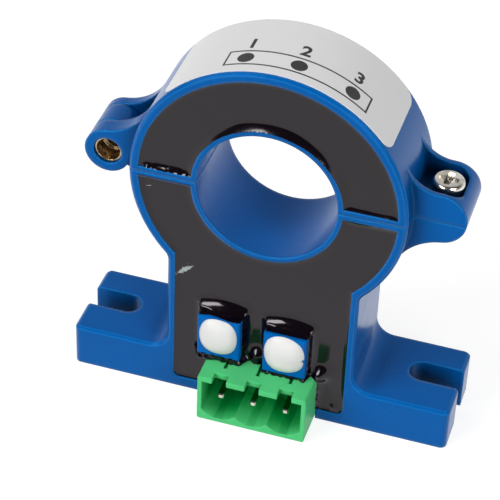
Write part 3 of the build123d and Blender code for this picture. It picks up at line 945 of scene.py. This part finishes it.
def figure_outlines(text, height, centre):
    """Filled faces of a plain figure of this height, centred at a flat point."""
    curve = bpy.data.curves.new("figure", "FONT")
    curve.body = text
    curve.align_x = "CENTER"
    curve.resolution_u = 3
    curve.offset = 0.03
    holder = bpy.data.objects.new("figure", curve)
    bpy.context.scene.collection.objects.link(holder)
    bpy.context.view_layer.update()
    data = bpy.data.meshes.new_from_object(holder.evaluated_get(bpy.context.evaluated_depsgraph_get()))
    ys = [v.co.y for v in data.vertices]
    base = min(ys)
    factor = height / (max(ys) - base)
    places = [(centre[0] + v.co.x * factor, centre[1] - height / 2 + (v.co.y - base) * factor) for v in data.vertices]
    faces = [[places[i] for i in polygon.vertices] for polygon in data.polygons]
    bpy.data.objects.remove(holder)
    bpy.data.curves.remove(curve)
    bpy.data.meshes.remove(data)
    return faces


# the print's dots and the ends of its panel, in degrees from the crown, and their places along Y in millimetres
DOT_TURNS = (-13.8, 7.5, 30.3)
PANEL_TURNS = (-21.9, 38.4)
PANEL_FRONT, PANEL_BACK = -5.25, -1.55
DOT_Y = -3.45
FIGURE_Y = 0.3
DOT_POINTS = 40
LABEL_THICKNESS = 0.115
# how far the film lies below the print's face, and how far the print goes into the film
PRINT_HEIGHT = 0.012
PRINT_SUNK = 0.002


class TRANSDUCER_OT_label(bpy.types.Operator):
    """Lays the label on the crown and prints it"""

    bl_idname = "transducer.label"
    bl_label = "Label"

    def execute(self, context):
        settings = context.scene.transducer_label
        low, high = node_box("label")
        outer = high.z - RING_Z
        film_face = outer - PRINT_HEIGHT
        left, right = (outer * math.asin(x / outer) for x in (low.x, high.x))
        sheet = rounded_rectangle(left, right, low.y, high.y, settings.corner / MM)
        film_paint = printed_label_film(settings)
        film = wrapped_piece("label_sheet", [sheet], outer - LABEL_THICKNESS, film_face, film_paint, 0.5)
        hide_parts("label")

        def arc_length(turn):
            return math.radians(turn) * outer

        line = settings.line / MM
        x0, x1 = arc_length(PANEL_TURNS[0]), arc_length(PANEL_TURNS[1])
        y0, y1 = PANEL_FRONT, PANEL_BACK
        bars = [
            (x0, x1, y0, y0 + line),
            (x0, x1, y1 - line, y1),
            (x0, x0 + line, y0 + line, y1 - line),
            (x1 - line, x1, y0 + line, y1 - line),
        ]
        flats = [[(a, c), (b, c), (b, d), (a, d)] for a, b, c, d in bars]
        radius = settings.dot / MM
        round_dot = [2 * math.pi * i / DOT_POINTS for i in range(DOT_POINTS)]
        for number, turn in enumerate(DOT_TURNS, 1):
            x = arc_length(turn)
            flats.append([(x + radius * math.cos(t), DOT_Y + radius * math.sin(t)) for t in round_dot])
            flats += figure_outlines(str(number), settings.figure / MM, (x, FIGURE_Y))
        wrapped_piece("label_print", flats, film_face - PRINT_SUNK, outer, thermal_transfer_ink(settings), 0.3)
        return {"FINISHED"}


class TRANSDUCER_OT_inside(bpy.types.Operator):
    """Finishes the core, the sensor and the board that the resin covers"""

    bl_idname = "transducer.inside"
    bl_label = "Core and board"

    def execute(self, context):
        core = laminated_core_steel()
        for name in ("lower_core_left", "lower_core_right", "upper_core"):
            dress(name, core)
        dress("circuit_board", masked_glass_epoxy())
        black = moulded_case("moulded_black_epoxy", "#1b1b1d", 0.5)
        for name in ("amplifier_chip", "voltage_regulator", "hall_sensor"):
            dress(name, black)
        dress("supply_capacitor", moulded_case("moulded_tantalum_case", "#c98a2a", 0.4))
        return {"FINISHED"}


# the photograph's camera: place in millimetres, turn, height and roll in degrees, and lens and sensor in millimetres
CAMERA_AT = (62.58, -232.77, 218.14)
CAMERA_AZIMUTH = 16.002
CAMERA_ELEVATION = 38.801
CAMERA_ROLL = 2.407
CAMERA_LENS = 149.89
SENSOR_WIDTH = 36
FLOOR_RADIUS = 2500
# how far the floor is below the feet, so that the two don't flicker
FLOOR_DROP = 0.02
# the setting that gives a lamp's power, its width and height in metres, and its place in millimetres
LAMPS = {
    "key_lamp": ("key", (0.9, 0.27), (-697, -798, 588)),
    "fill_lamp": ("fill", (0.27, 0.27), (363, -335, 253)),
    "high_lamp": ("top", (0.42, 0.17), (-600, -420, 1020)),
}
LAMP_TARGET = (0, 0, 25)


def area_lamp(name, power, size, place):
    """A soft white lamp aimed at the object."""
    data = bpy.data.lights.new(name, "AREA")
    data.shape = "RECTANGLE"
    data.size, data.size_y = size
    data.energy = power
    made = bpy.data.objects.new(name, data)
    bpy.context.scene.collection.objects.link(made)
    made.location = Vector(place) * MM
    made.rotation_euler = (Vector(LAMP_TARGET) - Vector(place)).to_track_quat("-Z", "Y").to_euler()


def lay_floor(settings):
    """A pale floor under the object. Where it is seen it is lifted to white, and keeps its shadow."""
    bm = bmesh.new()
    bmesh.ops.create_circle(bm, cap_ends=True, segments=96, radius=FLOOR_RADIUS)
    paint = bpy.data.materials.new("painted_board_floor")
    add = node_adder(paint)
    rays = add("LightPath").node.outputs
    seen = add("Math", rays["Is Camera Ray"], rays["Is Glossy Ray"], operation="MAXIMUM")
    seen = add("Math", seen, rays["Is Transmission Ray"], operation="MAXIMUM")
    glow = add("Emission", WHITE, add("Math", seen, settings.lift, operation="MULTIPLY"))
    add("OutputMaterial", add("AddShader", add("BsdfDiffuse", settings.floor), glow))
    floor = mesh_piece("floor", bm, paint)
    floor.location.z = -FLOOR_DROP * MM


def light_room(context, settings):
    """The light from all round, with a white sweep behind the object and a dim room in front of it, and the lamps."""
    world = bpy.data.worlds.new("studio")
    context.scene.world = world
    add = node_adder(world)
    way = add("SeparateXYZ", add("TexCoord", out="Generated")).node.outputs
    depth = add("Math", way["Z"], -0.5, way["Y"], operation="MULTIPLY_ADD")
    mirrored = add("MapRange", depth, -0.2, 0.9, 0.04, 1.0)
    soft = add("MapRange", depth, -1.1, 1.0, 0.12 * settings.ambient, settings.ambient)
    rays = add("LightPath").node.outputs
    seen = add("Math", rays["Is Camera Ray"], rays["Is Transmission Ray"], operation="MAXIMUM")
    level = add("Mix", seen, add("Mix", rays["Is Glossy Ray"], soft, mirrored), 1.0)
    add("OutputWorld", add("Background", WHITE, level))
    for name, (power, size, place) in LAMPS.items():
        area_lamp(name, getattr(settings, power), size, place)


def place_camera(context):
    """The camera of the photograph."""
    data = bpy.data.cameras.new("camera")
    data.sensor_width = SENSOR_WIDTH
    data.lens = CAMERA_LENS
    data.clip_start, data.clip_end = 0.01, 20
    camera = bpy.data.objects.new("camera", data)
    context.scene.collection.objects.link(camera)
    a, e, r = (math.radians(v) for v in (CAMERA_AZIMUTH, CAMERA_ELEVATION, CAMERA_ROLL))
    back = Vector((math.sin(a) * math.cos(e), -math.cos(a) * math.cos(e), math.sin(e)))
    level_right = Vector((math.cos(a), math.sin(a), 0))
    level_up = back.cross(level_right)
    right = math.cos(r) * level_right + math.sin(r) * level_up
    up = math.cos(r) * level_up - math.sin(r) * level_right
    turned = Matrix((right, up, back)).transposed().to_4x4()
    camera.matrix_world = Matrix.Translation(Vector(CAMERA_AT) * MM) @ turned
    context.scene.camera = camera


class TRANSDUCER_OT_stage(bpy.types.Operator):
    """Sets the floor, the light and the camera"""

    bl_idname = "transducer.stage"
    bl_label = "Stage"

    def execute(self, context):
        settings = context.scene.transducer_stage
        lay_floor(settings)
        light_room(context, settings)
        place_camera(context)
        context.scene.view_settings.view_transform = "Standard"
        return {"FINISHED"}


class TRANSDUCER_PT_panel(bpy.types.Panel):
    """Lists the pieces and their sizes"""

    bl_idname = "TRANSDUCER_PT_panel"
    bl_label = "Current Transducer"
    bl_space_type = "VIEW_3D"
    bl_region_type = "UI"
    bl_category = "Transducer"

    def draw(self, context):
        for operator, group in STEPS:
            box = self.layout.box()
            box.operator(operator.bl_idname)
            if group:
                settings = getattr(context.scene, group)
                for name in settings.bl_rna.properties.keys():
                    if name not in ("rna_type", "name"):
                        box.prop(settings, name)


GROUPS = {
    "transducer_housing": HousingSettings,
    "transducer_potting": PottingSettings,
    "transducer_trimmer": TrimmerSettings,
    "transducer_header": HeaderSettings,
    "transducer_screw": ScrewSettings,
    "transducer_label": LabelSettings,
    "transducer_stage": StageSettings,
}
STEPS = (
    (TRANSDUCER_OT_housing, "transducer_housing"),
    (TRANSDUCER_OT_inside, None),
    (TRANSDUCER_OT_potting, "transducer_potting"),
    (TRANSDUCER_OT_trimmers, "transducer_trimmer"),
    (TRANSDUCER_OT_header, "transducer_header"),
    (TRANSDUCER_OT_screw, "transducer_screw"),
    (TRANSDUCER_OT_label, "transducer_label"),
    (TRANSDUCER_OT_stage, "transducer_stage"),
)


def register():
    for name, group in GROUPS.items():
        bpy.utils.register_class(group)
        setattr(bpy.types.Scene, name, bpy.props.PointerProperty(type=group))
    for operator, _ in STEPS:
        bpy.utils.register_class(operator)
    bpy.utils.register_class(TRANSDUCER_PT_panel)


def unregister():
    bpy.utils.unregister_class(TRANSDUCER_PT_panel)
    for operator, _ in reversed(STEPS):
        bpy.utils.unregister_class(operator)
    for name, group in reversed(GROUPS.items()):
        delattr(bpy.types.Scene, name)
        bpy.utils.unregister_class(group)


def main():
    """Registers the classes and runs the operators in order."""
    register()
    for operator, _ in STEPS:
        family, name = operator.bl_idname.split(".")
        getattr(getattr(bpy.ops, family), name)()


if __name__ == "__main__":
    main()
